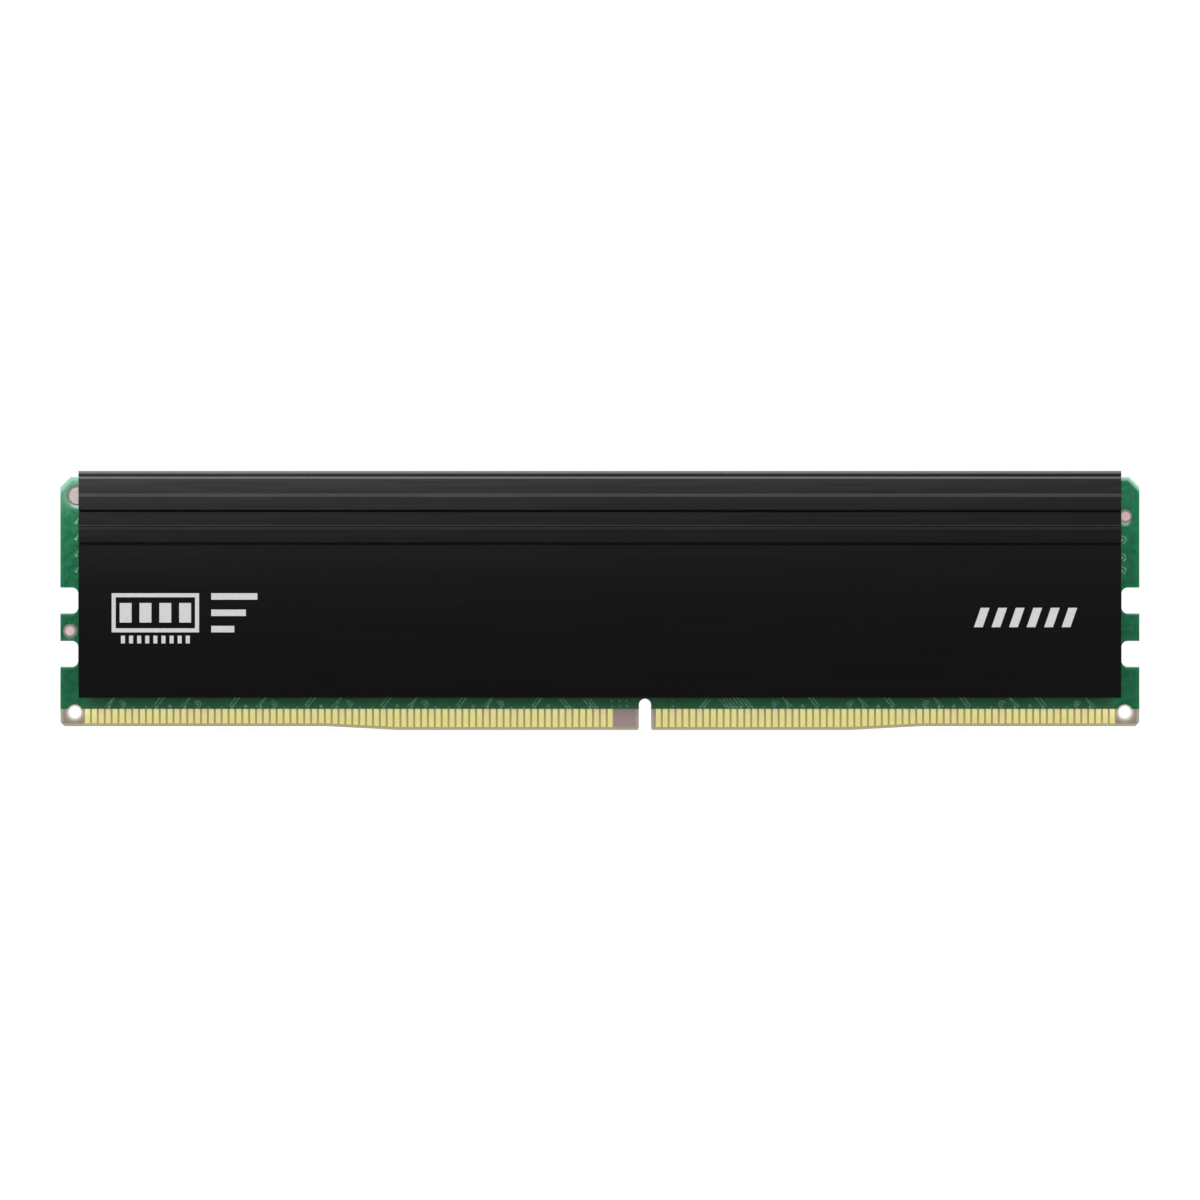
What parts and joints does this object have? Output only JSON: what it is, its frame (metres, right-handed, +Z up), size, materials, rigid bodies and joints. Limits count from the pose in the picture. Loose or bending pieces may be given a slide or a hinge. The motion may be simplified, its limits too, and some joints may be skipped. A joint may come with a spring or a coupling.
{
  "type": "computer memory module",
  "caption": "Upright desktop memory module: notched green board with gold edge contacts between two ribbed black aluminium heat spreader plates.",
  "frame": {"origin": "middle of the contact edge: half the board's length, half its thickness, on the edge's lowest line", "axes": "+X along the module towards its right end as seen from the front, +Z up away from the contacts, -Y the way the front face looks"},
  "size_m": [0.1334, 0.0074, 0.032],
  "materials": {
    "laminate": "bare woven-glass laminate, satin",
    "solder_mask": "green solder mask over copper, semi-gloss",
    "contact_gold": "gold plating, smooth",
    "pad_metal": "bare copper land under a clear preservative, satin",
    "package_black": "black moulding compound, matt",
    "solder": "reflowed solder, satin",
    "capacitor_ceramic": "brown ceramic",
    "resistor_black": "black glass over resistor film",
    "thermal_pad": "soft filled silicone, matt",
    "spreader_black": "black anodised, brushed along its length",
    "print_white": "printed ink, light grey",
    "label_white": "blank white film label"
  },
  "bodies": {
    "root": {"circuit_board": "laminate", "solder_mask_front": "solder_mask", "contacts_front_left": "contact_gold", "contacts_front_right": "contact_gold", "locating_pads_front": "pad_metal", "memory_front_1": "package_black", "memory_front_2": "package_black", "memory_front_3": "package_black", "memory_front_4": "package_black", "memory_front_5": "package_black", "memory_front_6": "package_black", "memory_front_7": "package_black", "memory_front_8": "package_black", "solder_balls_front": "solder", "capacitors_front": "capacitor_ceramic", "resistor_arrays_front": "resistor_black", "component_terminals_front": "solder", "thermal_pad_front": "thermal_pad", "heat_spreader_front": "spreader_black", "solder_mask_back": "solder_mask", "contacts_back_left": "contact_gold", "contacts_back_right": "contact_gold", "locating_pads_back": "pad_metal", "memory_back_1": "package_black", "memory_back_2": "package_black", "memory_back_3": "package_black", "memory_back_4": "package_black", "memory_back_5": "package_black", "memory_back_6": "package_black", "memory_back_7": "package_black", "memory_back_8": "package_black", "solder_balls_back": "solder", "capacitors_back": "capacitor_ceramic", "resistor_arrays_back": "resistor_black", "component_terminals_back": "solder", "thermal_pad_back": "thermal_pad", "heat_spreader_back": "spreader_black", "id_eeprom": "package_black", "eeprom_pads": "solder", "printed_mark_left": "print_white", "printed_mark_right": "print_white", "rear_label": "label_white"}
  },
  "joints": []
}
